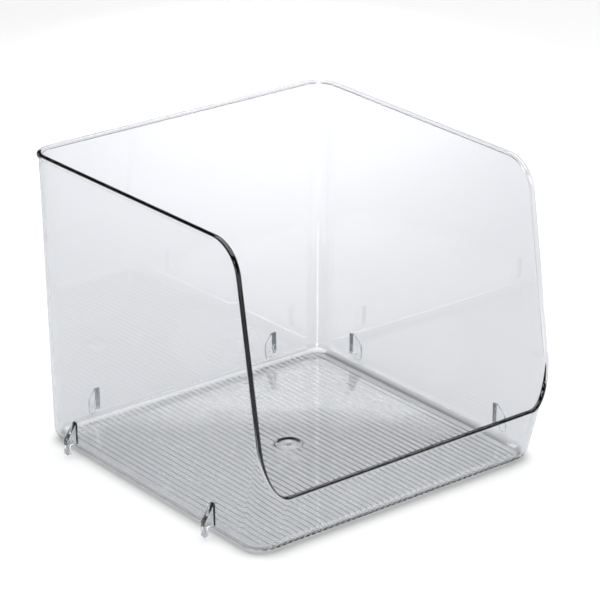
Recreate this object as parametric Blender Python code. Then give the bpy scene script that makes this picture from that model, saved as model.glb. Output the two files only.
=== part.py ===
"""Open-front stacking bin: one clear injection moulding, modelled region by region.

Frame: +Z up, +X to the bin's right, the open front faces -Y. The origin is on the surface that
the bin stands on, at the middle of the whole outline (six stacking tabs included). Metres.
The floor, walls, corners, rim bead and tabs are separate solids with a 0.3 mm gap between them.
"""
import math

import bmesh
import bpy
from mathutils import Vector

# Shell
SHELL = 0.0022              # thickness of the floor and walls
GAP = 0.0003                # clearance between neighbouring solids
BASE_RADIUS = 0.0100        # outside radius between the floor and the walls
BACK_CORNER_RADIUS = 0.0155
FRONT_CORNER_RADIUS = 0.0190

# Outside faces at the ground, as if the base radius were not there
BASE_HALF_WIDTH = 0.1226
BASE_BACK_Y = 0.1204
BASE_FRONT_Y = -0.1160

# Outward lean of the faces, as metres sideways for each metre up
SIDE_LEAN_BACK = 0.0149     # side wall at the back corner
SIDE_LEAN_FRONT = 0.0035    # side wall at its free front edge, which stands straighter
BACK_LEAN = 0.0144
FRONT_LEAN = 0.2900

# Rim bead: an eight-sided bar whose middle line follows the rim
BEAD = 0.0033               # across its flats
BEAD_INSET = 0.00035         # from the wall's outside face in to the bead's middle line
HEIGHT = 0.2113             # ground to the top of the bead
LIP_HEIGHT = 0.0440         # ground to the top of the bead on the front lip
OPENING_LEAN = 0.1715       # the front opening lies in one plane that leans back this much
SHOULDER_RADIUS = 0.0236    # where the side rim turns down into the front edge

# Ribs under the floor run from front to back; these are the grooves between them
RIB_COUNT = 47
RIB_PITCH = 0.0048
GROOVE_WIDTH = 0.0028
GROOVE_DEPTH = 0.0004
GATE_PAD_RADIUS = 0.0103    # smooth round pad under the middle of the floor
GATE_PAD_Y = 0.0035

# Stacking tabs: fins that hook over the rim of the bin below
TAB_THICKNESS = 0.0040
TAB_REACH = 0.0089          # how far it stands out of the wall
TAB_TOP = 0.0246
TAB_TOP_LAND = 0.0012
TAB_SLANT_END = 0.0128      # height where the slanted edge meets the upright outer edge
TAB_SEAT = 0.0086           # height of the seat that rests on the rim below
TAB_TOE_BOTTOM = 0.0025
TAB_TOE_WIDTH = 0.0034
TAB_SPACING = 0.0782        # from the middle of the bin's rim length or width
SIDE_TAB_MIDDLE_Y = 0.0049

ARC_STEPS = 8               # facets in a quarter turn
FACE_STEPS = 6              # strips up a twisted wall

CLEAR = (0.80, 0.83, 0.85, 0.35)

BEAD_Z = HEIGHT - BEAD / 2
LIP_Z = LIP_HEIGHT - BEAD / 2
LIP_BEAD_Y = BASE_FRONT_Y - FRONT_LEAN * LIP_Z + BEAD_INSET
WALL_TOP = BEAD_Z - BEAD / 2 - GAP
EDGE_MARGIN = BEAD / 2 + GAP        # from the bead's middle line to the edge of a wall
FRONT_CORNER_Y = BASE_FRONT_Y + FRONT_CORNER_RADIUS
BACK_CORNER_Y = BASE_BACK_Y - BACK_CORNER_RADIUS


def clear_scene():
    for item in list(bpy.data.objects):
        bpy.data.objects.remove(item, do_unlink=True)


def clear_plastic(name):
    """A see-through glossy plastic; every solid gets one of its own."""
    material = bpy.data.materials.new(name)
    material.use_nodes = True
    shader = material.node_tree.nodes["Principled BSDF"]
    shader.inputs["Base Color"].default_value = CLEAR[:3] + (1.0,)
    shader.inputs["Roughness"].default_value = 0.05
    shader.inputs["Metallic"].default_value = 0.0
    shader.inputs["Alpha"].default_value = CLEAR[3]
    return material


def add_object(name, mesh_data, smooth_angle=None):
    """Make a named object from a bmesh, with its faces pointing out."""
    bmesh.ops.recalc_face_normals(mesh_data, faces=mesh_data.faces)
    mesh = bpy.data.meshes.new(name)
    mesh_data.to_mesh(mesh)
    mesh_data.free()
    if smooth_angle is not None:
        mesh.shade_smooth()
        mesh.set_sharp_from_angle(angle=math.radians(smooth_angle))
    item = bpy.data.objects.new(name, mesh)
    bpy.context.scene.collection.objects.link(item)
    mesh.materials.append(clear_plastic(name + "_clear"))
    return item


def thick_grid(name, outer, inner, smooth_angle=None):
    """A closed solid between two grids of points; rows and columns match one to one."""
    solid = bmesh.new()
    rows = len(outer)
    columns = len(outer[0])
    skins = []
    for grid in (outer, inner):
        skins.append([[solid.verts.new(point) for point in row] for row in grid])
    for skin in skins:
        for i in range(rows - 1):
            for j in range(columns - 1):
                solid.faces.new((skin[i][j], skin[i + 1][j], skin[i + 1][j + 1], skin[i][j + 1]))
    border = [(0, j) for j in range(columns)]
    border += [(i, columns - 1) for i in range(1, rows)]
    border += [(rows - 1, j) for j in range(columns - 2, -1, -1)]
    border += [(i, 0) for i in range(rows - 2, 0, -1)]
    for here, there in zip(border, border[1:] + border[:1]):
        solid.faces.new((skins[0][here[0]][here[1]], skins[0][there[0]][there[1]],
                         skins[1][there[0]][there[1]], skins[1][here[0]][here[1]]))
    return add_object(name, solid, smooth_angle)


def steps(start, end, count):
    return [start + (end - start) * i / count for i in range(count + 1)]


def side_lean(y):
    """Lean of a side wall at depth y; it fades from the back corner to the front corner."""
    share = (BACK_CORNER_Y - y) / (BACK_CORNER_Y - FRONT_CORNER_Y)
    share = min(max(share, 0.0), 1.0)
    return SIDE_LEAN_BACK + (SIDE_LEAN_FRONT - SIDE_LEAN_BACK) * share


def side_x(y, z):
    """Outside face of the right wall."""
    return BASE_HALF_WIDTH + side_lean(y) * z


def opening_y(z):
    """Middle line of the bead in the plane of the front opening."""
    return LIP_BEAD_Y + OPENING_LEAN * (z - LIP_Z)


def base_profile(lean, angle, depth):
    """Point on the base radius: distance out from the face's foot, and height.

    angle runs from the face's own lean, at the wall, to a right angle, at the floor.
    """
    middle = -BASE_RADIUS * (1 - math.sin(math.atan(lean))) / math.cos(math.atan(lean))
    out = middle + (BASE_RADIUS - depth) * math.cos(angle)
    return out, BASE_RADIUS - (BASE_RADIUS - depth) * math.sin(angle)


def wall_foot(lean, depth):
    """Lowest height of a wall: just above the end of the base radius."""
    return base_profile(lean, math.atan(lean), depth)[1] + GAP


def wall_out(lean, z, depth):
    """Distance out from the face's foot at a height, with the depth measured square to the wall."""
    return lean * z - depth * math.hypot(1.0, lean)


def floor_reach(lean):
    """Distance in from the face's foot to where the flat floor starts."""
    return -base_profile(lean, math.pi / 2, 0.0)[0]


# ---------------------------------------------------------------- floor

def prism(name, outline, low, high):
    """Upright prism over an outline in X and Y."""
    solid = bmesh.new()
    bottom = [solid.verts.new((x, y, low)) for x, y in outline]
    top = [solid.verts.new((x, y, high)) for x, y in outline]
    solid.faces.new(bottom)
    solid.faces.new(top)
    for i in range(len(outline)):
        j = (i + 1) % len(outline)
        solid.faces.new((bottom[i], bottom[j], top[j], top[i]))
    return add_object(name, solid)


def hide_cutter(item):
    item.hide_render = True
    item.display_type = "WIRE"


def cut(item, cutter, operation):
    modifier = item.modifiers.new(operation.lower(), "BOOLEAN")
    modifier.operation = operation
    modifier.solver = "EXACT"
    modifier.object = cutter
    hide_cutter(cutter)


def floor_outline():
    """Edge of the flat floor: where the base radius starts, less the gap."""
    half = BASE_HALF_WIDTH - floor_reach(0.0) - GAP
    back = BASE_BACK_Y - floor_reach(BACK_LEAN) - GAP
    front = BASE_FRONT_Y + floor_reach(FRONT_LEAN) + GAP
    back_round = BACK_CORNER_RADIUS - BASE_RADIUS
    front_round = FRONT_CORNER_RADIUS - BASE_RADIUS
    points = []
    for sign_x, y, radius, start in ((1, back, back_round, 0), (-1, back, back_round, 90),
                                     (-1, front, front_round, 180), (1, front, front_round, 270)):
        middle_x = sign_x * (half - radius)
        middle_y = y - radius if y > 0 else y + radius
        for angle in steps(start, start + 90, ARC_STEPS):
            turn = math.radians(angle)
            points.append((middle_x + radius * math.cos(turn), middle_y + radius * math.sin(turn)))
    return points


def add_groove_cutter():
    """All the grooves between the ribs, missing where the smooth pad is."""
    solid = bmesh.new()
    for i in range(RIB_COUNT):
        middle = (i - (RIB_COUNT - 1) / 2) * RIB_PITCH
        wide = GROOVE_WIDTH * 0.5
        narrow = GROOVE_WIDTH * 0.3
        section = [(middle - wide, -GROOVE_DEPTH), (middle + wide, -GROOVE_DEPTH),
                   (middle + wide, 0.0), (middle + narrow, GROOVE_DEPTH),
                   (middle - narrow, GROOVE_DEPTH), (middle - wide, 0.0)]
        front = [solid.verts.new((x, BASE_FRONT_Y, z)) for x, z in section]
        back = [solid.verts.new((x, BASE_BACK_Y, z)) for x, z in section]
        solid.faces.new(front)
        solid.faces.new(back)
        for j in range(len(section)):
            k = (j + 1) % len(section)
            solid.faces.new((front[j], front[k], back[k], back[j]))
    grooves = add_object("groove_cutter", solid)
    ring = [math.tau * i / (4 * ARC_STEPS) for i in range(4 * ARC_STEPS)]
    pad = [(GATE_PAD_RADIUS * math.cos(a), GATE_PAD_Y + GATE_PAD_RADIUS * math.sin(a)) for a in ring]
    cut(grooves, prism("gate_pad_area", pad, -SHELL, SHELL), "DIFFERENCE")
    return grooves


def add_floor():
    floor = prism("floor_panel", floor_outline(), 0.0, SHELL)
    cut(floor, add_groove_cutter(), "DIFFERENCE")


# ---------------------------------------------------------------- base radius

def add_base_radius_strips():
    """Quarter-round strips between the floor and the four straight walls."""
    back_reach = BASE_HALF_WIDTH - BACK_CORNER_RADIUS - GAP
    front_reach = BASE_HALF_WIDTH - FRONT_CORNER_RADIUS - GAP
    runs = (
        ("base_radius_back", BACK_LEAN, lambda out, s: (s, BASE_BACK_Y + out), -back_reach, back_reach),
        ("base_radius_front", FRONT_LEAN, lambda out, s: (s, BASE_FRONT_Y - out),
         -front_reach, front_reach),
        ("base_radius_left", SIDE_LEAN_FRONT, lambda out, s: (-BASE_HALF_WIDTH - out, s),
         FRONT_CORNER_Y + GAP, BACK_CORNER_Y - GAP),
        ("base_radius_right", SIDE_LEAN_FRONT, lambda out, s: (BASE_HALF_WIDTH + out, s),
         FRONT_CORNER_Y + GAP, BACK_CORNER_Y - GAP),
    )
    for name, lean, place, start, end in runs:
        skins = []
        for depth in (0.0, SHELL):
            grid = []
            for angle in steps(math.atan(lean), math.pi / 2, ARC_STEPS):
                out, z = base_profile(lean, angle, depth)
                grid.append([place(out, s) + (z,) for s in (start, end)])
            skins.append(grid)
        thick_grid(name, skins[0], skins[1], smooth_angle=30)


# ---------------------------------------------------------------- straight walls

def add_back_wall():
    half = BASE_HALF_WIDTH - BACK_CORNER_RADIUS - GAP
    grids = []
    for depth in (0.0, SHELL):
        grid = []
        for z in (wall_foot(BACK_LEAN, depth), WALL_TOP):
            y = BASE_BACK_Y + wall_out(BACK_LEAN, z, depth)
            reach = half + SIDE_LEAN_BACK * z
            grid.append([(-reach, y, z), (reach, y, z)])
        grids.append(grid)
    thick_grid("back_wall", grids[0], grids[1])


def add_front_lip_wall():
    """Low front wall under the lip bead, leaning out."""
    half = BASE_HALF_WIDTH - FRONT_CORNER_RADIUS - GAP
    top = LIP_Z - EDGE_MARGIN
    grids = []
    for depth in (0.0, SHELL):
        grid = []
        for z in (wall_foot(FRONT_LEAN, depth), top):
            y = BASE_FRONT_Y - wall_out(FRONT_LEAN, z, depth)
            reach = half + SIDE_LEAN_FRONT * z
            grid.append([(-reach, y, z), (reach, y, z)])
        grids.append(grid)
    thick_grid("front_lip_wall", grids[0], grids[1])


def front_edge_of_side(z):
    """Front edge of the side wall: behind the corner's tangent line and behind the bead."""
    tangent = FRONT_CORNER_Y - FRONT_LEAN * z + GAP
    slope = math.hypot(1.0, OPENING_LEAN)
    beside_bead = opening_y(z) + EDGE_MARGIN * slope
    middle_z = BEAD_Z - SHOULDER_RADIUS
    if z > middle_z:
        radius = SHOULDER_RADIUS - EDGE_MARGIN
        middle_y = shoulder_middle()[0]
        rise = min(z - middle_z, radius)
        on_arc = middle_y - math.sqrt(radius * radius - rise * rise)
        beside_bead = max(beside_bead, on_arc)
    return max(tangent, beside_bead)


def shoulder_middle():
    """Centre of the shoulder arc in Y and Z, tangent to the side rim and the front edge."""
    slope = math.hypot(1.0, OPENING_LEAN)
    z = BEAD_Z - SHOULDER_RADIUS
    return opening_y(z) + SHOULDER_RADIUS * slope, z


def add_side_walls():
    back = BACK_CORNER_Y
    join = LIP_Z + (FRONT_CORNER_RADIUS - BEAD_INSET) / (FRONT_LEAN + OPENING_LEAN)
    low = wall_foot(SIDE_LEAN_FRONT, 0.0)
    arc_low = BEAD_Z - SHOULDER_RADIUS
    arc_radius = SHOULDER_RADIUS - EDGE_MARGIN
    heights = [low, (low + join) / 2, join + EDGE_MARGIN]
    heights += steps(join + EDGE_MARGIN, arc_low, FACE_STEPS)[1:]
    heights += [arc_low + arc_radius * math.sin(math.radians(a)) for a in steps(0, 90, ARC_STEPS)[1:]]
    heights[-1] = WALL_TOP
    for side, name in ((-1, "left_side_wall"), (1, "right_side_wall")):
        grids = []
        for depth in (0.0, SHELL):
            grid = []
            for z in heights:
                front = front_edge_of_side(z)
                rear = back + BACK_LEAN * z - GAP
                row = [front + (rear - front) * i / FACE_STEPS for i in range(FACE_STEPS + 1)]
                grid.append([(side * (side_x(y, z) - depth), y, z) for y in row])
            grids.append(grid)
        thick_grid(name, grids[0], grids[1])


# ---------------------------------------------------------------- corners

def corner_point(side, front, turn, z, out, radius):
    """Point of a corner: turn 0 faces sideways, a right angle faces front or back."""
    lean_y = -FRONT_LEAN if front else BACK_LEAN
    lean_x = SIDE_LEAN_FRONT if front else SIDE_LEAN_BACK
    middle_y = FRONT_CORNER_Y if front else BACK_CORNER_Y
    facing = -1 if front else 1
    normal = Vector((side * math.cos(turn), facing * math.sin(turn)))
    drift = Vector((side * lean_x, lean_y)) * z
    across = drift - normal * drift.dot(normal)
    middle = Vector((side * (BASE_HALF_WIDTH - radius), middle_y))
    spot = middle + across + normal * (radius + out)
    return (spot.x, spot.y, z)


def corner_lean(front, turn):
    lean_y = FRONT_LEAN if front else BACK_LEAN
    lean_x = SIDE_LEAN_FRONT if front else SIDE_LEAN_BACK
    return math.cos(turn) * lean_x + math.sin(turn) * lean_y


def corner_rim_height(turn):
    """Height at which the front corner's outside face meets the plane of the opening."""
    drop = (FRONT_CORNER_RADIUS - BEAD_INSET) * (1 - math.sin(turn))
    return LIP_Z + drop / (FRONT_LEAN + OPENING_LEAN)


def add_corners():
    for front in (False, True):
        for side in (-1, 1):
            name = ("front_" if front else "back_") + ("left_" if side < 0 else "right_") + "corner"
            radius = FRONT_CORNER_RADIUS if front else BACK_CORNER_RADIUS
            grids = []
            for depth in (0.0, SHELL):
                grid = []
                for turn in steps(0, math.pi / 2, ARC_STEPS):
                    lean = corner_lean(front, turn)
                    column = []
                    for angle in steps(math.pi / 2, math.atan(lean), ARC_STEPS):
                        out, z = base_profile(lean, angle, depth)
                        column.append(corner_point(side, front, turn, z, out, radius))
                    low = column[-1][2]
                    top = corner_rim_height(turn) - EDGE_MARGIN / math.cos(math.atan(OPENING_LEAN))
                    top = top - (BEAD / 2 + GAP) * 1.6 * math.cos(turn) if front else WALL_TOP
                    for z in steps(low, top, FACE_STEPS)[1:]:
                        out = wall_out(lean, z, depth)
                        column.append(corner_point(side, front, turn, z, out, radius))
                    grid.append(column)
                grids.append(grid)
            thick_grid(name, grids[0], grids[1], smooth_angle=30)


# ---------------------------------------------------------------- rim bead

def bead_along(name, path, outward):
    """Eight-sided bar along a path; outward gives the sideways direction at each point."""
    half = BEAD / 2
    flat = half * math.tan(math.pi / 8)
    section = [(half, -flat), (half, flat), (flat, half), (-flat, half),
               (-half, flat), (-half, -flat), (-flat, -half), (flat, -half)]
    solid = bmesh.new()
    rings = []
    for i, point in enumerate(path):
        before = path[max(i - 1, 0)]
        after = path[min(i + 1, len(path) - 1)]
        along = (after - before).normalized()
        across = outward[i] - along * outward[i].dot(along)
        across.normalize()
        upward = along.cross(across)
        if upward.z < 0 or (abs(upward.z) < 0.2 and upward.y > 0):
            upward = -upward
        rings.append([solid.verts.new(point + across * a + upward * b) for a, b in section])
    for ring, following in zip(rings, rings[1:]):
        for j in range(8):
            k = (j + 1) % 8
            solid.faces.new((ring[j], ring[k], following[k], following[j]))
    solid.faces.new(rings[0])
    solid.faces.new(rings[-1])
    return add_object(name, solid, smooth_angle=50)


def trim(path, length):
    """Shorten a path by a length at each end."""
    result = list(path)
    for end, neighbour in ((0, 1), (-1, -2)):
        step = result[neighbour] - result[end]
        result[end] = result[end] + step.normalized() * length
    return result


def rim_x(y):
    return side_x(y, BEAD_Z) - BEAD_INSET


def add_back_beads():
    y = BASE_BACK_Y + BACK_LEAN * BEAD_Z - BEAD_INSET
    half = BASE_HALF_WIDTH - BACK_CORNER_RADIUS + SIDE_LEAN_BACK * BEAD_Z
    path = [Vector((-half, y, BEAD_Z)), Vector((half, y, BEAD_Z))]
    bead_along("rim_bead_back", trim(path, GAP / 2), [Vector((0, 1, 0))] * 2)
    for side, name in ((-1, "rim_bead_back_left"), (1, "rim_bead_back_right")):
        path = []
        outward = []
        for turn in steps(0, math.pi / 2, ARC_STEPS):
            lean = corner_lean(False, turn)
            spot = corner_point(side, False, turn, BEAD_Z, lean * BEAD_Z - BEAD_INSET,
                                BACK_CORNER_RADIUS)
            path.append(Vector(spot))
            outward.append(Vector((side * math.cos(turn), math.sin(turn), 0)))
        bead_along(name, trim(path, GAP / 2), outward)


def add_side_beads():
    rear = BACK_CORNER_Y + BACK_LEAN * BEAD_Z
    front = shoulder_middle()[0]
    for side, name in ((-1, "rim_bead_left"), (1, "rim_bead_right")):
        path = [Vector((side * rim_x(y), y, BEAD_Z)) for y in steps(rear, front, 2)]
        bead_along(name, trim(path, GAP / 2), [Vector((side, 0, 0))] * 3)


def add_front_beads():
    """Shoulders, front edges and the curve down into the lip, all in the opening's plane."""
    middle_y, middle_z = shoulder_middle()
    end = math.pi - math.atan(OPENING_LEAN)
    join = corner_rim_height(0.0)
    for side, hand in ((-1, "left"), (1, "right")):
        shoulder = []
        for turn in steps(math.pi / 2, end, ARC_STEPS):
            y = middle_y + SHOULDER_RADIUS * math.cos(turn)
            z = middle_z + SHOULDER_RADIUS * math.sin(turn)
            shoulder.append(Vector((side * (side_x(y, z) - BEAD_INSET), y, z)))
        outward = Vector((side, 0, 0))
        bead_along("shoulder_bead_" + hand, trim(shoulder, GAP / 2), [outward] * len(shoulder))
        top = shoulder[-1]
        low_y = opening_y(join)
        low = Vector((side * (side_x(low_y, join) - BEAD_INSET), low_y, join))
        bead_along("front_edge_bead_" + hand, trim([top, low], GAP / 2), [outward] * 2)
        path = []
        outward = []
        for turn in steps(0, math.pi / 2, 2 * ARC_STEPS):
            z = corner_rim_height(turn)
            out = corner_lean(True, turn) * z - BEAD_INSET
            path.append(Vector(corner_point(side, True, turn, z, out, FRONT_CORNER_RADIUS)))
            outward.append(Vector((side * math.cos(turn), -math.sin(turn), 0)))
        bead_along("lip_corner_bead_" + hand, trim(path, GAP / 2), outward)


def add_lip_bead():
    half = BASE_HALF_WIDTH - FRONT_CORNER_RADIUS + SIDE_LEAN_FRONT * LIP_Z
    path = [Vector((-half, LIP_BEAD_Y, LIP_Z)), Vector((half, LIP_BEAD_Y, LIP_Z))]
    bead_along("lip_bead", trim(path, GAP / 2), [Vector((0, -1, 0))] * 2)


# ---------------------------------------------------------------- stacking tabs

def tab_profile(foot, lean):
    """Hooked fin in distance from the bin's middle and height; foot is the wall at the ground."""
    def face(z):
        return foot + lean * z + GAP
    outer = foot + lean * TAB_SEAT + TAB_REACH
    toe = outer - TAB_TOE_WIDTH
    return [(face(TAB_TOP), TAB_TOP), (face(TAB_TOP) + TAB_TOP_LAND, TAB_TOP), (outer, TAB_SLANT_END),
            (outer, TAB_TOE_BOTTOM), (toe, TAB_TOE_BOTTOM), (toe, TAB_SEAT), (face(TAB_SEAT), TAB_SEAT)]


def add_tab(name, profile, place):
    """Extrude the profile across its thickness; place turns (out, along, up) into a point."""
    solid = bmesh.new()
    sides = []
    for along in (-TAB_THICKNESS / 2, TAB_THICKNESS / 2):
        sides.append([solid.verts.new(place(out, along, up)) for out, up in profile])
    solid.faces.new(sides[0])
    solid.faces.new(sides[1])
    for i in range(len(profile)):
        j = (i + 1) % len(profile)
        solid.faces.new((sides[0][i], sides[0][j], sides[1][j], sides[1][i]))
    add_object(name, solid)


def add_tabs():
    back_profile = tab_profile(BASE_BACK_Y, BACK_LEAN)
    for side, hand in ((-1, "left"), (1, "right")):
        x = side * TAB_SPACING
        add_tab("stacking_tab_back_" + hand, back_profile, lambda o, a, u, x=x: (x + a, o, u))
        for direction, end in ((-1, "front"), (1, "rear")):
            y = SIDE_TAB_MIDDLE_Y + direction * TAB_SPACING
            profile = tab_profile(BASE_HALF_WIDTH, side_lean(y))
            add_tab("stacking_tab_" + hand + "_" + end, profile,
                    lambda o, a, u, s=side, y=y: (s * o, y + a, u))


def main():
    clear_scene()
    add_floor()
    add_base_radius_strips()
    add_back_wall()
    add_side_walls()
    add_front_lip_wall()
    add_corners()
    add_back_beads()
    add_side_beads()
    add_front_beads()
    add_lip_bead()
    add_tabs()


main()
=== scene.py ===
"""Looks of the open-front stacking bin: one continuous clear moulding, its studio and its camera.

The bin is built as a single closed mesh: an outer skin, an inner skin, and a rounded bead that joins
them round the rim. Both skins are rings of stations round the bin. Each station runs from the middle
of the floor out, round the base radius and up the wall to the rim. Places come from the CAD frame.
Metres, +Z up, the open front faces -Y.
"""
import math

import bmesh
import bpy
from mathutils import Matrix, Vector


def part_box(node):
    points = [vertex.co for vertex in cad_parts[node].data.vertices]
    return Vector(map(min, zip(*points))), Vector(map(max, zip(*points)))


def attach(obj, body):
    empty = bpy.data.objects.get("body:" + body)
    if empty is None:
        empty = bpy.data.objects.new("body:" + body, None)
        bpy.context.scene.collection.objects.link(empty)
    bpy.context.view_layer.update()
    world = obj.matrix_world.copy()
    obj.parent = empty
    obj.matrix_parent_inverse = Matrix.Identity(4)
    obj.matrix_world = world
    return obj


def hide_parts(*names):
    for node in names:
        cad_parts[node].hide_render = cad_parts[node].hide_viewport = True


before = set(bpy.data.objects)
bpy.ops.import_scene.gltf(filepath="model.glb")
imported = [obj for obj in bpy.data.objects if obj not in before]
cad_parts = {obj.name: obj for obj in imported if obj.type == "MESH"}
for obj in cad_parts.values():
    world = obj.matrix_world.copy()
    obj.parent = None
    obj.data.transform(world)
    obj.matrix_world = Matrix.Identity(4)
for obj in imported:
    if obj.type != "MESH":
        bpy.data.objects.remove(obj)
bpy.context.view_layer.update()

# ---------------------------------------------------------------- driving sizes

WALL = 0.0022                   # thickness of the walls and the floor
BASE_RADIUS = 0.0100            # outside radius between floor and walls
FRONT_CORNER = 0.0190           # outside radius of the front corners
BACK_CORNER = 0.0155
SIDE_LEAN = 0.0149              # lean of a side wall at the back, metres out for each metre up
FRONT_EDGE_LEAN = 0.0035        # the same at its free front edge
BACK_LEAN = 0.0144
FRONT_LEAN = 0.2900
OPENING_LEAN = 0.1715           # the opening's plane leans back this much
SHOULDER_RADIUS = 0.0236
BEAD_INSET = 0.00035            # bead's middle line, in from the outside face, on sides and back
LIP_INSET = 0.00090             # the same on the front lip, where the bead sits over the wall
BEAD_SQUARE = 3.6               # squareness of the bead's inner half; 2 is round
CREASE = math.radians(32)       # edges sharper than this stay sharp under smooth shading

RIB_PITCH = 0.00482
RIBS_IN_MIDDLE = 43             # ribs between the corner axes; the rest lie beyond them
COLUMNS_PER_RIB = 8
GROOVE_DEPTH = 0.00019
FRONT_RIB_END = math.radians(80)    # how far ribs climb the base radius before they fade out
BACK_RIB_END = math.radians(30)
SIDE_RIB_END = math.radians(14)
FRONT_SWELL = 4.5               # ribs grow this much deeper as they climb the base radius
BACK_SWELL = 2.5
SWELL_TURN = math.radians(24)   # turn of the base radius over which they grow

GATE_Y = 0.0035                 # middle of the gate mark, measured from the origin
GATE_COLUMNS = 5                # ribs that the square round the gate mark takes the place of
GATE_ROWS = 24
GATE_RINGS = ((0.0104, 0.00019), (0.0097, 0.00060), (0.0084, 0.00060), (0.0071, 0.00130), (0.0030, 0.00130),
              (0.0020, 0.00090))

FLOOR_RINGS = 15                # rows from the corner axes out to where the base radius starts
RADIUS_ROWS = 14
WALL_ROWS = 8
CORNER_STEPS = 20
EDGE_COLUMNS = 8                # side columns that end on the front edge
SHOULDER_COLUMNS = 12
COARSE_ROWS = 10                # floor rows between the gate square and each end
BEAD_STEPS = 22
WELD = 1e-6                     # points closer than this are one vertex

TAB_THICKNESS = 0.0040          # stacking tabs: fins that hook over the rim of the bin below
TAB_LAND = 0.0012               # flat land at the tab's top
TAB_SEAT = 0.0086               # height of the face that sits on the rim below
TAB_TOE_WIDTH = 0.0034
TAB_SLANT_END = 0.0128
TAB_SUNK = 0.0011               # how far the visible tab runs into the wall it grows from
TAB_ROUND = 0.00035             # radius of its moulded edges

# Clear polystyrene
PLASTIC_INDEX = 1.57
PLASTIC_TINT = (0.50, 0.64, 0.70, 1)
PLASTIC_DENSITY = 10.0          # absorption for each metre
RIPPLE_SCALE = 18.0             # long ripple left by the tool, waves for each metre
RIPPLE_DISTANCE = 0.001
SHADOW_PASS = 0.915             # light let through each face of the plastic
BASE_SHADE = 0.42               # light that the curved base keeps back
WALL_FINISH = (0.012, 900.0, 0.02)      # roughness, grain scale and ripple strength
TAB_FINISH = (0.16, 1500.0, 0.15)

# Studio
VIEW_AZIMUTH = math.radians(-38.57)
VIEW_ELEVATION = math.radians(22.616)
AWAY = Vector((-math.sin(VIEW_AZIMUTH), math.cos(VIEW_AZIMUTH), 0))     # level, away from the camera
ACROSS = Vector((math.cos(VIEW_AZIMUTH), math.sin(VIEW_AZIMUTH), 0))    # level, to the picture's right
UP = Vector((0, 0, 1))
TABLE_WHITE = (0.90, 0.90, 0.90, 1)
THROUGH_PLASTIC_PAINTED_SHADE = (0.602, 0.610, 0.636, 1)   # painted shade: the table's colour to every ray but the camera's, a darker grey tuned to the walls' tones
TABLE_HALF = 8.0
TABLE_DROP = 0.0002             # the table lies this far under the bin's feet
EDGE_GLOW = 0.8                 # far table's own light, and where it starts and is full
EDGE_GLOW_START = 1.0
EDGE_GLOW_FULL = 3.0
OVERHEAD_POWER = 62
OVERHEAD_TARGET = AWAY * 0.25 + ACROSS * 0.1
OVERHEAD_PLACE = OVERHEAD_TARGET + UP * 1.8
OVERHEAD_SIZE = (2.6, 2.6)
GLOW_TARGET = AWAY * 0.75 - ACROSS * 0.03
GLOW_PLACE = AWAY * 1.45 - ACROSS * 0.03 + UP * 0.85
GLOW_ANGLE = 34
GLOW_POWER = 34
POOL_TARGET = AWAY * -0.47      # on the camera's side of the bin
POOL_PLACE = POOL_TARGET + UP * 1.2
POOL_ANGLE = 23
POOL_POWER = 500
STRIP_TARGET = UP * 0.1
STRIP_PLACE = AWAY * -2.1 + UP
STRIP_SIZE = (0.5, 1.0)
STRIP_POWER = 10
SPOT_SOFT = 0.03
CAMERA_TARGET = Vector((0.03076, 0.0296, 0.09231))
CAMERA_DISTANCE = 1.9447
CAMERA_LENS = 168.6             # millimetres, on a 36 mm sensor
WALLS_END = 25.0                # degrees above the horizon where the white walls stop
NEAR_WALLS_END = 5.0            # the same on the camera's side of the room
WALLS_BRIGHT = 1.0
FLAG_START = 6.0                # the black flag's lowest and highest elevation, and half its spread
FLAG_END = 23.2
FLAG_HALF = 26.0
CARD_GAIN = 0.35                # how much brighter the card over the flag is than the walls
CEILING_DARK = 0.03

# Places read from the CAD frame
back_wall_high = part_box("back_wall")[1]
side_wall_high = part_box("right_side_wall")[1]
lip_wall_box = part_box("front_lip_wall")
rim_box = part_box("rim_bead_back")
BACK_Y = back_wall_high.y - BACK_LEAN * back_wall_high.z
HALF = side_wall_high.x - SIDE_LEAN * side_wall_high.z
FRONT_Y = lip_wall_box[0].y + FRONT_LEAN * lip_wall_box[1].z
BEAD_RADIUS = (rim_box[1].z - rim_box[0].z) / 2
RIM_Z = rim_box[1].z - BEAD_RADIUS
LIP_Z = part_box("lip_bead")[1].z - BEAD_RADIUS
LIP_Y = FRONT_Y - FRONT_LEAN * LIP_Z + LIP_INSET        # bead's middle line on the lip

AXIS_X = HALF - FRONT_CORNER                # corner axes at the ground
FRONT_AXIS_Y = FRONT_Y + FRONT_CORNER
BACK_AXIS_X = HALF - BACK_CORNER
BACK_AXIS_Y = BACK_Y - BACK_CORNER
COLUMN = 2 * AXIS_X / (RIBS_IN_MIDDLE * COLUMNS_PER_RIB)
PITCH = COLUMN * COLUMNS_PER_RIB            # rib pitch that divides the middle evenly
GATE_HALF = PITCH * GATE_COLUMNS / 2


def clamp(value, low=0.0, high=1.0):
    return min(max(value, low), high)


def smooth(value):
    value = clamp(value)
    return value * value * (3 - 2 * value)


def between(start, end, count):
    """count + 1 evenly spaced values, both ends included."""
    return [start + (end - start) * i / count for i in range(count + 1)]


# ---------------------------------------------------------------- outside faces of the bin
# Each face takes (along, z) and gives the point on the outside face and its outward normal.

def side_lean(y):
    share = clamp((BACK_AXIS_Y - y) / (BACK_AXIS_Y - FRONT_AXIS_Y))
    return SIDE_LEAN + (FRONT_EDGE_LEAN - SIDE_LEAN) * share


def side_face(side):
    def face(y, z):
        lean = side_lean(y)
        twist = (side_lean(y + WALL) - side_lean(y - WALL)) / (2 * WALL) * z
        point = Vector((side * (HALF + lean * z), y, z))
        return point, Vector((side, -twist, -lean)).normalized()
    return face


def flat_face(facing, reach, spread, foot, lean):
    """Front or back wall; along is x at the ground, and the columns spread with height."""
    def face(x, z):
        point = Vector((x + x / reach * spread * z, foot + facing * lean * z, z))
        return point, Vector((0, facing, -lean)).normalized()
    return face


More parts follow.
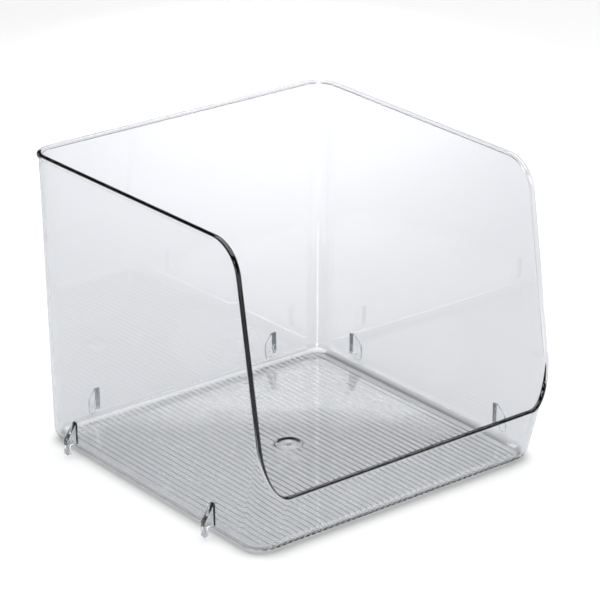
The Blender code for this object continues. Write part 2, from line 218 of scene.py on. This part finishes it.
def corner_face(side, facing, radius, lean_x, lean_y, foot_y):
    """Rounded corner; along is the turn from the side wall (0) to the front or back wall."""
    axis = Vector((side * (HALF - radius), foot_y - facing * radius))
    drift = Vector((side * lean_x, facing * lean_y))

    def face(turn, z):
        out = Vector((side * math.cos(turn), facing * math.sin(turn)))
        spot = axis + drift * z + out * radius
        return Vector((spot.x, spot.y, z)), Vector((out.x, out.y, -out.dot(drift))).normalized()
    return face


class Station:
    """One column of the skins: a place on the perimeter of the floor, with its wall above it."""

    def __init__(self, face, along, inner, foot, out, drift, rib_end, coarse=True):
        self.face = face
        self.along = along                  # where the column starts on its face, at the ground
        self.inner = Vector(inner)          # start of the column on the floor
        self.foot = Vector(foot)            # foot of the outside face
        self.out = Vector(out).normalized()
        self.drift = Vector(drift)          # how the face moves for each metre up
        self.rib_end = rib_end
        self.rib_swell = 1.0
        self.coarse = coarse                # fine stations stop at the top of the base radius
        self.top = None                     # (along, z) of the rim on the outside face
        self.inset = BEAD_INSET
        self.drift_along = 0.0              # change of along for each metre up

    @property
    def lean(self):
        return self.drift.dot(self.out)

    def radius_point(self, angle, depth):
        """Point on the base radius; angle is a right angle at the floor."""
        lean = self.lean
        slope = math.atan(lean)
        middle = -BASE_RADIUS * (1 - math.sin(slope)) / math.cos(slope)
        out = middle + (BASE_RADIUS - depth) * math.cos(angle)
        z = BASE_RADIUS - (BASE_RADIUS - depth) * math.sin(angle)
        sideways = self.drift - self.out * lean
        spot = self.foot + sideways * z + self.out * out
        return Vector((spot.x, spot.y, z))

    def low_z(self):
        return self.radius_point(math.atan(self.lean), 0.0).z


def rib_rows():
    """Depths of the floor rows, close together beside the gate mark."""
    front = between(FRONT_AXIS_Y, GATE_Y - GATE_HALF, COARSE_ROWS)
    gate = between(GATE_Y - GATE_HALF, GATE_Y + GATE_HALF, GATE_ROWS)
    back = between(GATE_Y + GATE_HALF, BACK_AXIS_Y, COARSE_ROWS)
    return front + gate[1:] + back[1:]


def opening_y(z):
    return LIP_Y + OPENING_LEAN * (z - LIP_Z)


def lip_corner_z(turn, inset):
    """Height at which the front corner's bead meets the plane of the opening."""
    across = (FRONT_CORNER - LIP_INSET) - (FRONT_CORNER - inset) * math.sin(turn)
    return LIP_Z + across / (FRONT_LEAN + OPENING_LEAN)


def side_rim(rear_y, count):
    """Rim of a side wall from the lip corner to the back corner, as (y, z) for each column."""
    join = lip_corner_z(0.0, BEAD_INSET)
    arc_z = RIM_Z - SHOULDER_RADIUS
    arc_y = opening_y(arc_z) + SHOULDER_RADIUS * math.hypot(1.0, OPENING_LEAN)
    sweep = math.pi / 2 - math.atan(OPENING_LEAN)
    arc_start = math.pi / 2 + sweep
    first = (arc_y + SHOULDER_RADIUS * math.cos(arc_start), arc_z + SHOULDER_RADIUS * math.sin(arc_start))
    rim = [(opening_y(z), z) for z in between(join, first[1], EDGE_COLUMNS)]
    for turn in between(arc_start, math.pi / 2, SHOULDER_COLUMNS)[1:]:
        rim.append((arc_y + SHOULDER_RADIUS * math.cos(turn), arc_z + SHOULDER_RADIUS * math.sin(turn)))
    rim += [(y, RIM_Z) for y in between(arc_y, rear_y, count - EDGE_COLUMNS - SHOULDER_COLUMNS)[1:]]
    return rim


def front_stations():
    face = flat_face(-1, AXIS_X, FRONT_EDGE_LEAN, FRONT_Y, FRONT_LEAN)
    for i in range(RIBS_IN_MIDDLE * COLUMNS_PER_RIB + 1):
        x = -AXIS_X + i * COLUMN
        station = Station(face, x, (x, FRONT_AXIS_Y), (x, FRONT_Y), (0, -1),
                          (x / AXIS_X * FRONT_EDGE_LEAN, -FRONT_LEAN), FRONT_RIB_END,
                          i % COLUMNS_PER_RIB == 0)
        station.top = (x, LIP_Z)
        station.inset = LIP_INSET
        station.rib_swell = FRONT_SWELL
        yield station


def back_stations():
    """From right to left."""
    face = flat_face(1, BACK_AXIS_X, SIDE_LEAN, BACK_Y, BACK_LEAN)
    places = [(AXIS_X - i * COLUMN, i % COLUMNS_PER_RIB == 0)
              for i in range(RIBS_IN_MIDDLE * COLUMNS_PER_RIB + 1)]
    beyond = (AXIS_X + BACK_AXIS_X) / 2
    for x, coarse in [(beyond, True)] + places + [(-beyond, True)]:
        inner = (clamp(x, -AXIS_X, AXIS_X), BACK_AXIS_Y)
        station = Station(face, x, inner, (x, BACK_Y), (0, 1),
                          (x / BACK_AXIS_X * SIDE_LEAN, BACK_LEAN), BACK_RIB_END, coarse)
        station.rib_swell = BACK_SWELL
        station.top = (x, RIM_Z)
        yield station


def side_stations(side):
    """From front to back, both corner tangents left out."""
    face = side_face(side)
    rows = rib_rows()
    rim = side_rim(BACK_AXIS_Y + BACK_LEAN * RIM_Z, len(rows) - 1)
    for y, top in list(zip(rows, rim))[1:-1]:
        share = (y - FRONT_AXIS_Y) / (BACK_AXIS_Y - FRONT_AXIS_Y)
        drift_y = -FRONT_LEAN + (BACK_LEAN + FRONT_LEAN) * share
        station = Station(face, y, (side * AXIS_X, y), (side * HALF, y), (side, 0),
                          (side * side_lean(y), drift_y), SIDE_RIB_END)
        station.drift_along = drift_y
        station.top = top
        yield station


def corner_stations(side, facing):
    """From the side wall to the front or back wall, both tangents included."""
    front = facing < 0
    radius = FRONT_CORNER if front else BACK_CORNER
    lean_x = FRONT_EDGE_LEAN if front else SIDE_LEAN
    lean_y = FRONT_LEAN if front else BACK_LEAN
    foot_y = FRONT_Y if front else BACK_Y
    face = corner_face(side, facing, radius, lean_x, lean_y, foot_y)
    inner = (side * AXIS_X, FRONT_AXIS_Y if front else BACK_AXIS_Y)
    far_end = FRONT_RIB_END if front else BACK_RIB_END
    for turn in between(0, math.pi / 2, CORNER_STEPS):
        out = Vector((side * math.cos(turn), facing * math.sin(turn)))
        foot = Vector((side * (HALF - radius), foot_y - facing * radius)) + out * radius
        rib_end = SIDE_RIB_END + (far_end - SIDE_RIB_END) * math.sin(turn) ** 2
        station = Station(face, turn, inner, foot, out, (side * lean_x, facing * lean_y), rib_end)
        station.rib_swell = 1 + ((FRONT_SWELL if front else BACK_SWELL) - 1) * math.sin(turn) ** 2
        if front:
            station.inset = BEAD_INSET + (LIP_INSET - BEAD_INSET) * math.sin(turn) ** 2
            station.top = (turn, lip_corner_z(turn, station.inset))
        else:
            station.top = (turn, RIM_Z)
        yield station


def all_stations():
    """Anticlockwise seen from above, from the left end of the front wall."""
    front = list(front_stations())
    ring = front[:-1]
    ring += list(reversed(list(corner_stations(1, -1))))
    ring += list(side_stations(1))
    ring += list(corner_stations(1, 1))
    ring += list(back_stations())
    ring += list(reversed(list(corner_stations(-1, 1))))
    ring += list(reversed(list(side_stations(-1))))
    ring += list(corner_stations(-1, -1))[:-1]
    return ring


def groove(x):
    """0 on a rib's flat crest, 1 on the flat bottom of the groove beside it."""
    phase = (x / PITCH - 0.5 / COLUMNS_PER_RIB) % 1.0
    from_crest = min(phase, 1.0 - phase)
    return smooth((from_crest - 0.25) * COLUMNS_PER_RIB + 0.5)


# ---------------------------------------------------------------- the mesh

class Body:
    """Vertices and faces of the moulding; points that coincide share one vertex."""

    def __init__(self):
        self.points = []
        self.faces = []
        self.known = {}

    def vertex(self, point):
        key = tuple(round(value / WELD) for value in point)
        if key not in self.known:
            self.known[key] = len(self.points)
            self.points.append(tuple(point))
        return self.known[key]

    def face(self, *corners):
        clean = []
        for corner in corners:
            if corner not in clean:
                clean.append(corner)
        if len(clean) > 2:
            self.faces.append(clean)

    def mesh(self, name):
        data = bpy.data.meshes.new(name)
        data.from_pydata(self.points, [], self.faces)
        data.update()
        solid = bmesh.new()
        solid.from_mesh(data)
        bmesh.ops.remove_doubles(solid, verts=solid.verts, dist=2 * WELD)
        bmesh.ops.recalc_face_normals(solid, faces=solid.faces)
        if solid.calc_volume(signed=True) < 0:
            bmesh.ops.reverse_faces(solid, faces=solid.faces)
        solid.to_mesh(data)
        solid.free()
        return data


def floor_point(x, y, depth):
    lift = depth if depth else GROOVE_DEPTH * groove(x)
    return Vector((x, y, lift))


def column_low(station, depth):
    """Floor and base radius of one station, from the floor out."""
    start = station.radius_point(math.pi / 2, depth)
    column = []
    for share in between(0.0, 1.0, FLOOR_RINGS):
        x = station.inner.x + (start.x - station.inner.x) * share
        y = station.inner.y + (start.y - station.inner.y) * share
        column.append(floor_point(x, y, depth))
    slope = math.atan(station.lean)
    for angle in between(math.pi / 2, slope, RADIUS_ROWS)[1:]:
        point = station.radius_point(angle, depth)
        if not depth:
            climbed = math.pi / 2 - angle
            fade = 1 - smooth((climbed / station.rib_end - 0.6) / 0.4)
            fade *= 1 + (station.rib_swell - 1) * smooth(climbed / SWELL_TURN)
            inward = -Vector((station.out.x * math.cos(angle), station.out.y * math.cos(angle),
                              -math.sin(angle)))
            point = point + inward * (GROOVE_DEPTH * groove(point.x) * fade)
        column.append(point)
    return column


def rim_frames(stations):
    """For each station: point on the outside face at the rim, its normal, and the way down the wall."""
    points = []
    normals = []
    for station in stations:
        point, normal = station.face(*station.top)
        points.append(point)
        normals.append(normal)
    downs = []
    count = len(points)
    for i in range(count):
        tangent = (points[(i + 1) % count] - points[i - 1]).normalized()
        down = tangent.cross(normals[i]).normalized()
        below, _ = stations[i].face(stations[i].along, stations[i].low_z())
        if down.dot(below - points[i]) < 0:
            down = -down
        downs.append(down)
    return points, normals, downs


def bead_section(angle, inner_reach):
    """Section of the bead: round on the outside, squarer on the inside, as (outward, up)."""
    if angle > -math.pi / 2:
        return BEAD_RADIUS * math.cos(angle), -BEAD_RADIUS * math.sin(angle)
    power = 2 / BEAD_SQUARE
    across = -inner_reach * abs(math.cos(angle)) ** power
    return across, BEAD_RADIUS * abs(math.sin(angle)) ** power


def build_moulding():
    body = Body()
    stations = all_stations()
    coarse = [s for s in stations if s.coarse]
    rim_points, rim_normals, rim_downs = rim_frames(coarse)

    # Outer skin: floor and base radius
    low = [[body.vertex(p) for p in column_low(s, 0.0)] for s in stations]
    rows = len(low[0])
    for i in range(len(stations)):
        here = low[i]
        there = low[(i + 1) % len(stations)]
        for j in range(rows - 1):
            body.face(here[j], there[j], there[j + 1], here[j + 1])
    # Outer skin: walls
    walls = []
    for s, rim, normal, down in zip(coarse, rim_points, rim_normals, rim_downs):
        drop = math.sqrt(BEAD_RADIUS ** 2 - s.inset ** 2)
        target = rim + down * drop
        start_z = s.low_z()
        start_along = s.along + s.drift_along * start_z
        low_point = column_low(s, 0.0)[-1]
        column = [low_point]
        for share in between(0.0, 1.0, WALL_ROWS)[1:]:
            along = start_along + (s.top[0] - start_along) * share
            z = start_z + (s.top[1] - start_z) * share
            point, _ = s.face(along, z)
            # Pull the column's end from the rim line to the bead's edge
            column.append(point + (target - rim) * share ** 4)
        walls.append([body.vertex(p) for p in column])
    fine_index = [i for i, s in enumerate(stations) if s.coarse]
    total = len(stations)
    for k in range(len(coarse)):
        here = walls[k]
        there = walls[(k + 1) % len(coarse)]
        first = fine_index[k]
        last = fine_index[(k + 1) % len(coarse)]
        span = (last - first) % total
        bottom = [low[(first + n) % total][-1] for n in range(span + 1)]
        body.face(*bottom, there[1], here[1])
        for j in range(1, WALL_ROWS):
            body.face(here[j], there[j], there[j + 1], here[j + 1])
    # Outer skin: middle of the floor, with the gate mark
    add_outer_middle(body)

    # Inner skin
    inner_low = [[body.vertex(p) for p in column_low(s, WALL)] for s in coarse]
    inner_walls = []
    for s in coarse:
        start_z = s.low_z()
        start_along = s.along + s.drift_along * start_z
        column = [column_low(s, WALL)[-1]]
        for share in between(0.0, 1.0, WALL_ROWS)[1:]:
            along = start_along + (s.top[0] - start_along) * share
            z = start_z + (s.top[1] - start_z) * share
            point, normal = s.face(along, z)
            column.append(point - normal * WALL)
        inner_walls.append([body.vertex(p) for p in column])
    for k in range(len(coarse)):
        here = inner_low[k] + inner_walls[k][1:]
        there = inner_low[(k + 1) % len(coarse)] + inner_walls[(k + 1) % len(coarse)][1:]
        for j in range(len(here) - 1):
            body.face(here[j + 1], there[j + 1], there[j], here[j])
    xs = [-AXIS_X + i * PITCH for i in range(RIBS_IN_MIDDLE + 1)]
    grid = [[body.vertex((x, y, WALL)) for x in xs] for y in rib_rows()]
    for j in range(len(grid) - 1):
        for i in range(len(xs) - 1):
            body.face(grid[j][i], grid[j][i + 1], grid[j + 1][i + 1], grid[j + 1][i])

    # Bead
    rings = []
    for k, s in enumerate(coarse):
        centre = rim_points[k] - rim_normals[k] * s.inset
        start = math.atan2(math.sqrt(BEAD_RADIUS ** 2 - s.inset ** 2), s.inset)
        ring = [walls[k][-1]]
        for angle in between(start, -math.pi, BEAD_STEPS)[1:-1]:
            across, up = bead_section(angle, WALL - s.inset)
            point = centre + rim_normals[k] * across - rim_downs[k] * up
            ring.append(body.vertex(point))
        ring.append(inner_walls[k][-1])
        rings.append(ring)
    for k in range(len(rings)):
        here = rings[k]
        there = rings[(k + 1) % len(rings)]
        for j in range(BEAD_STEPS):
            body.face(here[j], there[j], there[j + 1], here[j + 1])
    return body.mesh("clear_moulding")


def add_outer_middle(body):
    ys = rib_rows()
    xs = [-AXIS_X + i * COLUMN for i in range(RIBS_IN_MIDDLE * COLUMNS_PER_RIB + 1)]
    grid = [[body.vertex(floor_point(x, y, 0.0)) for x in xs] for y in ys]
    middle = (len(xs) - 1) // 2
    half = GATE_COLUMNS * COLUMNS_PER_RIB // 2
    left, right = middle - half, middle + half
    front, back = COARSE_ROWS, COARSE_ROWS + GATE_ROWS
    for j in range(len(ys) - 1):
        for i in range(len(xs) - 1):
            if left <= i < right and front <= j < back:
                continue
            body.face(grid[j][i], grid[j + 1][i], grid[j + 1][i + 1], grid[j][i + 1])
    border = [(front, i) for i in range(left, right)]
    border += [(j, right) for j in range(front, back)]
    border += [(back, i) for i in range(right, left, -1)]
    border += [(j, left) for j in range(back, front, -1)]
    edge = [(xs[i], ys[j]) for j, i in border]
    rings = [[grid[j][i] for j, i in border]]
    outer_radius = GATE_RINGS[0][0]
    for share in (0.3, 0.6, 0.85, 1.0):
        ring = []
        for x, y in edge:
            turn = math.atan2(y - GATE_Y, x)
            px = x + (outer_radius * math.cos(turn) - x) * share
            py = y + (GATE_Y + outer_radius * math.sin(turn) - y) * share
            ring.append(body.vertex(floor_point(px, py, 0.0)))
        rings.append(ring)
    for number, (radius, lift) in enumerate(GATE_RINGS):
        ring = []
        for x, y in edge:
            turn = math.atan2(y - GATE_Y, x)
            scale = radius - (0.0001 if number == 0 else 0.0)
            ring.append(body.vertex((scale * math.cos(turn), GATE_Y + scale * math.sin(turn), lift)))
        rings.append(ring)
    for inside, outside in zip(rings[1:], rings):
        for k in range(len(edge)):
            n = (k + 1) % len(edge)
            body.face(outside[k], outside[n], inside[n], inside[k])
    body.face(*rings[-1])


def tab_outline(box, facing, wall):
    """The fin's outline as (out, up); wall gives the outside face at a height."""
    outer = facing(box)
    toe = outer - TAB_TOE_WIDTH
    bottom, top = box[0].z, box[1].z
    return [(wall(top) - TAB_SUNK, top), (wall(top) + TAB_LAND, top), (outer, TAB_SLANT_END),
            (outer, bottom), (toe, bottom), (toe, TAB_SEAT), (wall(TAB_SEAT) - TAB_SUNK, TAB_SEAT)]


def tab_solid(outline, middle, place):
    """Plate of the outline with softened edges; place turns (out, along, up) into a point."""
    solid = bmesh.new()
    sides = []
    for along in (middle - TAB_THICKNESS / 2, middle + TAB_THICKNESS / 2):
        sides.append([solid.verts.new(place(out, along, up)) for out, up in outline])
    solid.faces.new(sides[0])
    solid.faces.new(sides[1])
    for i in range(len(outline)):
        j = (i + 1) % len(outline)
        solid.faces.new((sides[0][i], sides[0][j], sides[1][j], sides[1][i]))
    bmesh.ops.recalc_face_normals(solid, faces=solid.faces)
    bmesh.ops.bevel(solid, geom=list(solid.edges), offset=TAB_ROUND, segments=3, profile=0.5,
                    affect="EDGES", clamp_overlap=True)
    return solid


def all_tabs():
    """One mesh of the six fins, at the places of the CAD tabs."""
    together = bmesh.new()
    for name in sorted(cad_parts):
        if not name.startswith("stacking_tab"):
            continue
        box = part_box(name)
        middle = (box[0] + box[1]) / 2
        if "back" in name:
            outline = tab_outline(box, lambda b: b[1].y, lambda z: BACK_Y + BACK_LEAN * z)
            solid = tab_solid(outline, middle.x, lambda out, along, up: (along, out, up))
        else:
            side = 1 if "right" in name else -1
            lean = side_lean(middle.y)
            outline = tab_outline(box, lambda b: max(abs(b[0].x), abs(b[1].x)), lambda z: HALF + lean * z)
            solid = tab_solid(outline, middle.y, lambda out, along, up: (side * out, along, up))
        piece = bpy.data.meshes.new(name)
        solid.to_mesh(piece)
        solid.free()
        together.from_mesh(piece)
        bpy.data.meshes.remove(piece)
    data = bpy.data.meshes.new("tabs")
    together.to_mesh(data)
    together.free()
    return data


def join_tabs(moulding):
    """Grow the tabs out of the moulding, so that the clear plastic is one closed skin."""
    tabs = link("tab_cutter", all_tabs(), wall_plastic)
    tabs.data.materials.append(tab_plastic)
    for face in tabs.data.polygons:
        face.material_index = 1
    union = moulding.modifiers.new("tabs", "BOOLEAN")
    union.operation = "UNION"
    union.solver = "EXACT"
    union.object = tabs
    bpy.context.view_layer.update()
    joined = bpy.data.meshes.new_from_object(moulding.evaluated_get(bpy.context.evaluated_depsgraph_get()))
    moulding.modifiers.remove(union)
    bpy.data.objects.remove(tabs)
    plain = moulding.data
    moulding.data = joined
    bpy.data.meshes.remove(plain)
    joined.name = "clear_moulding"


# ---------------------------------------------------------------- materials

class Nodes:
    """Short calls for building a node tree."""

    def __init__(self, tree):
        self.tree = tree

    def add(self, kind, **settings):
        node = self.tree.nodes.new(kind)
        for name, value in settings.items():
            setattr(node, name, value)
        return node

    def wire(self, source, target):
        if isinstance(source, bpy.types.NodeSocket):
            self.tree.links.new(source, target)
        else:
            target.default_value = source

    def math(self, operation, *values):
        node = self.add("ShaderNodeMath", operation=operation)
        for value, socket in zip(values, node.inputs):
            self.wire(value, socket)
        return node.outputs[0]

    def dot(self, vector, fixed):
        node = self.add("ShaderNodeVectorMath", operation="DOT_PRODUCT")
        self.wire(vector, node.inputs[0])
        node.inputs[1].default_value = fixed
        return node.outputs["Value"]

    def ramp(self, value, low, high, start=0.0, end=1.0):
        """Smooth step from start to end as value goes from low to high."""
        node = self.add("ShaderNodeMapRange", interpolation_type="SMOOTHSTEP")
        self.wire(value, node.inputs["Value"])
        node.inputs["From Min"].default_value = low
        node.inputs["From Max"].default_value = high
        node.inputs["To Min"].default_value = start
        node.inputs["To Max"].default_value = end
        return node.outputs["Result"]


def clear_plastic(name, roughness, grain, ripple):
    """Clear polystyrene. The moulded face has a fine grain and a long, faint ripple from the tool."""
    material = bpy.data.materials.new(name)
    material.use_nodes = True
    n = Nodes(material.node_tree)
    shader = material.node_tree.nodes["Principled BSDF"]
    output = material.node_tree.nodes["Material Output"]
    shader.inputs["Base Color"].default_value = (1, 1, 1, 1)
    shader.inputs["Transmission Weight"].default_value = 1.0
    shader.inputs["IOR"].default_value = PLASTIC_INDEX
    place = n.add("ShaderNodeTexCoord").outputs["Object"]
    fine = n.add("ShaderNodeTexNoise")
    n.wire(place, fine.inputs["Vector"])
    fine.inputs["Scale"].default_value = grain
    fine.inputs["Detail"].default_value = 3.0
    n.wire(n.ramp(fine.outputs["Fac"], 0.35, 0.75, roughness * 0.5, roughness * 1.5),
           shader.inputs["Roughness"])
    wave = n.add("ShaderNodeTexNoise")
    n.wire(place, wave.inputs["Vector"])
    wave.inputs["Scale"].default_value = RIPPLE_SCALE
    wave.inputs["Detail"].default_value = 1.0
    bump = n.add("ShaderNodeBump")
    bump.inputs["Strength"].default_value = ripple
    bump.inputs["Distance"].default_value = RIPPLE_DISTANCE
    n.wire(wave.outputs["Fac"], bump.inputs["Height"])
    n.wire(bump.outputs["Normal"], shader.inputs["Normal"])
    absorb = n.add("ShaderNodeVolumeAbsorption")
    absorb.inputs["Color"].default_value = PLASTIC_TINT
    absorb.inputs["Density"].default_value = PLASTIC_DENSITY
    n.wire(absorb.outputs[0], output.inputs["Volume"])
    # To lamps and bounced light the plastic is a thin grey film, in place of noisy caustics
    path = n.add("ShaderNodeLightPath")
    clear = n.add("ShaderNodeBsdfTransparent")
    # The curved base bends light away, so its shadow is darker
    geometry = n.add("ShaderNodeNewGeometry")
    facing = n.math("ABSOLUTE", n.dot(geometry.outputs["True Normal"], (0, 0, 1)))
    height = n.dot(geometry.outputs["Position"], (0, 0, 1))
    low = n.ramp(height, BASE_RADIUS * 0.6, BASE_RADIUS * 1.2, 1.0, 0.0)
    curved = n.math("MULTIPLY", n.ramp(facing, 0.05, 0.2), n.ramp(facing, 0.88, 0.97, 1.0, 0.0))
    kept = n.math("MULTIPLY", n.math("MULTIPLY", curved, low), BASE_SHADE)
    passed = n.math("SUBTRACT", SHADOW_PASS, kept)
    grey = n.add("ShaderNodeCombineColor")
    for channel in grey.inputs:
        n.wire(passed, channel)
    n.wire(grey.outputs[0], clear.inputs["Color"])
    surface = shader.outputs[0]
    for ray in ("Is Diffuse Ray", "Is Shadow Ray"):
        mix = n.add("ShaderNodeMixShader")
        n.wire(path.outputs[ray], mix.inputs["Fac"])
        n.wire(surface, mix.inputs[1])
        n.wire(clear.outputs[0], mix.inputs[2])
        surface = mix.outputs[0]
    n.wire(surface, output.inputs["Surface"])
    return material


def link(name, data, material):
    item = bpy.data.objects.new(name, data)
    bpy.context.scene.collection.objects.link(item)
    if material is not None:
        data.materials.append(material)
    return item


wall_plastic = clear_plastic("clear_polystyrene", *WALL_FINISH)
tab_plastic = clear_plastic("clear_polystyrene_spark_finish", *TAB_FINISH)
moulding = link("clear_moulding", build_moulding(), wall_plastic)
moulding.data.materials.append(tab_plastic)
join_tabs(moulding)
moulding.data.shade_smooth()
moulding.data.set_sharp_from_angle(angle=CREASE)
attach(moulding, "root")
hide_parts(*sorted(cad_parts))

# ---------------------------------------------------------------- studio

def table_material():
    """White laminate. The camera sees it white; through the plastic it is painted a darker grey, a painted
    shade.
    """
    material = bpy.data.materials.new("white_table")
    material.use_nodes = True
    n = Nodes(material.node_tree)
    shader = material.node_tree.nodes["Principled BSDF"]
    path = n.add("ShaderNodeLightPath")
    # Painted shade: every ray but the camera's sees the table in a darker grey
    colour = n.add("ShaderNodeMix", data_type="RGBA")
    n.wire(path.outputs["Is Camera Ray"], colour.inputs["Factor"])
    colour.inputs["A"].default_value = THROUGH_PLASTIC_PAINTED_SHADE
    colour.inputs["B"].default_value = TABLE_WHITE
    n.wire(colour.outputs["Result"], shader.inputs["Base Color"])
    shader.inputs["Roughness"].default_value = 0.45
    shader.inputs["Specular IOR Level"].default_value = 0.15
    # The far table's own glow stands in for lamps along its edges, and keeps it white to the horizon
    length = n.add("ShaderNodeVectorMath", operation="LENGTH")
    n.wire(n.add("ShaderNodeNewGeometry").outputs["Position"], length.inputs[0])
    shader.inputs["Emission Color"].default_value = (1, 1, 1, 1)
    n.wire(n.ramp(length.outputs["Value"], EDGE_GLOW_START, EDGE_GLOW_FULL, 0.0, EDGE_GLOW),
           shader.inputs["Emission Strength"])
    return material


def add_table():
    half = TABLE_HALF
    data = bpy.data.meshes.new("table")
    data.from_pydata([(-half, -half, 0), (half, -half, 0), (half, half, 0), (-half, half, 0)], [],
                     [(0, 1, 2, 3)])
    table = link("table", data, table_material())
    table.location.z = -TABLE_DROP


def aim(lamp, place, target):
    bpy.context.scene.collection.objects.link(lamp)
    lamp.location = place
    lamp.rotation_mode = "QUATERNION"
    lamp.rotation_quaternion = (Vector(target) - Vector(place)).to_track_quat("-Z", "Y")


def add_softbox(name, place, target, size, power):
    data = bpy.data.lights.new(name, "AREA")
    data.shape = "RECTANGLE"
    data.size, data.size_y = size
    data.energy = power
    aim(bpy.data.objects.new(name, data), place, target)


def add_spot(name, place, target, angle, power):
    data = bpy.data.lights.new(name, "SPOT")
    data.spot_size = math.radians(angle)
    data.spot_blend = 1.0
    data.shadow_soft_size = SPOT_SOFT
    data.energy = power
    aim(bpy.data.objects.new(name, data), place, target)


def add_lights():
    add_softbox("overhead_softbox", OVERHEAD_PLACE, OVERHEAD_TARGET, OVERHEAD_SIZE, OVERHEAD_POWER)
    add_spot("sweep_glow", GLOW_PLACE, GLOW_TARGET, GLOW_ANGLE, GLOW_POWER)
    add_spot("front_pool", POOL_PLACE, POOL_TARGET, POOL_ANGLE, POOL_POWER)
    add_softbox("front_strip", STRIP_PLACE, STRIP_TARGET, STRIP_SIZE, STRIP_POWER)


def add_world():
    """White walls round the table, a dark ceiling, and a black flag behind the bin under a white card."""
    world = bpy.data.worlds.new("studio")
    world.use_nodes = True
    tree = world.node_tree
    n = Nodes(tree)
    background = tree.nodes["Background"]
    way = n.add("ShaderNodeTexCoord").outputs["Generated"]
    path = n.add("ShaderNodeLightPath")
    up = n.dot(way, (0, 0, 1))
    off_axis = n.math("ABSOLUTE", n.dot(way, ACROSS))
    far = n.ramp(up, rise(WALLS_END - 0.3), rise(WALLS_END + 0.3), WALLS_BRIGHT, CEILING_DARK)
    near = n.ramp(up, rise(NEAR_WALLS_END), rise(NEAR_WALLS_END + 6), WALLS_BRIGHT, CEILING_DARK)
    turn = n.add("ShaderNodeMix", data_type="FLOAT")
    n.wire(n.ramp(n.dot(way, AWAY), -0.25, 0.15), turn.inputs["Factor"])
    n.wire(near, turn.inputs["A"])
    n.wire(far, turn.inputs["B"])
    walls = turn.outputs["Result"]
    flag = n.math("MULTIPLY", n.ramp(up, rise(FLAG_START), rise(FLAG_START + 3)),
                  n.ramp(up, rise(FLAG_END - 1), rise(FLAG_END), 1.0, 0.0))
    ahead = n.math("GREATER_THAN", n.dot(way, AWAY), 0.0)
    sector = n.math("MULTIPLY", n.ramp(off_axis, rise(FLAG_HALF), rise(FLAG_HALF + 6), 1.0, 0.0), ahead)
    open_share = n.math("SUBTRACT", 1.0, n.math("MULTIPLY", n.math("MULTIPLY", flag, sector), 0.95))
    card = n.math("MULTIPLY", n.ramp(up, rise(FLAG_END - 1), rise(FLAG_END)), sector)
    lift = n.math("MULTIPLY_ADD", card, CARD_GAIN, 1.0)
    room = n.math("MULTIPLY", n.math("MULTIPLY", walls, lift), open_share)
    light = n.math("MAXIMUM", room, path.outputs["Is Camera Ray"])
    background.inputs["Color"].default_value = (1, 1, 1, 1)
    n.wire(light, background.inputs["Strength"])
    bpy.context.scene.world = world


def rise(degrees):
    return math.sin(math.radians(degrees))


def add_camera():
    level = -AWAY * math.cos(VIEW_ELEVATION)
    back = Vector((level.x, level.y, math.sin(VIEW_ELEVATION)))
    data = bpy.data.cameras.new("camera")
    data.lens = CAMERA_LENS
    data.sensor_width = 36.0
    data.clip_start, data.clip_end = 0.05, 60.0
    camera = bpy.data.objects.new("camera", data)
    bpy.context.scene.collection.objects.link(camera)
    camera.location = CAMERA_TARGET + back * CAMERA_DISTANCE
    camera.rotation_mode = "QUATERNION"
    camera.rotation_quaternion = (-back).to_track_quat("-Z", "Y")
    bpy.context.scene.camera = camera


add_table()
add_lights()
add_world()
add_camera()

scene = bpy.context.scene
scene.view_settings.view_transform = "Standard"
scene.cycles.max_bounces = 32
scene.cycles.transmission_bounces = 32
scene.cycles.glossy_bounces = 8
scene.cycles.transparent_max_bounces = 16
scene.cycles.caustics_refractive = False        # the lamps' light already passes through the plastic
scene.cycles.caustics_reflective = False
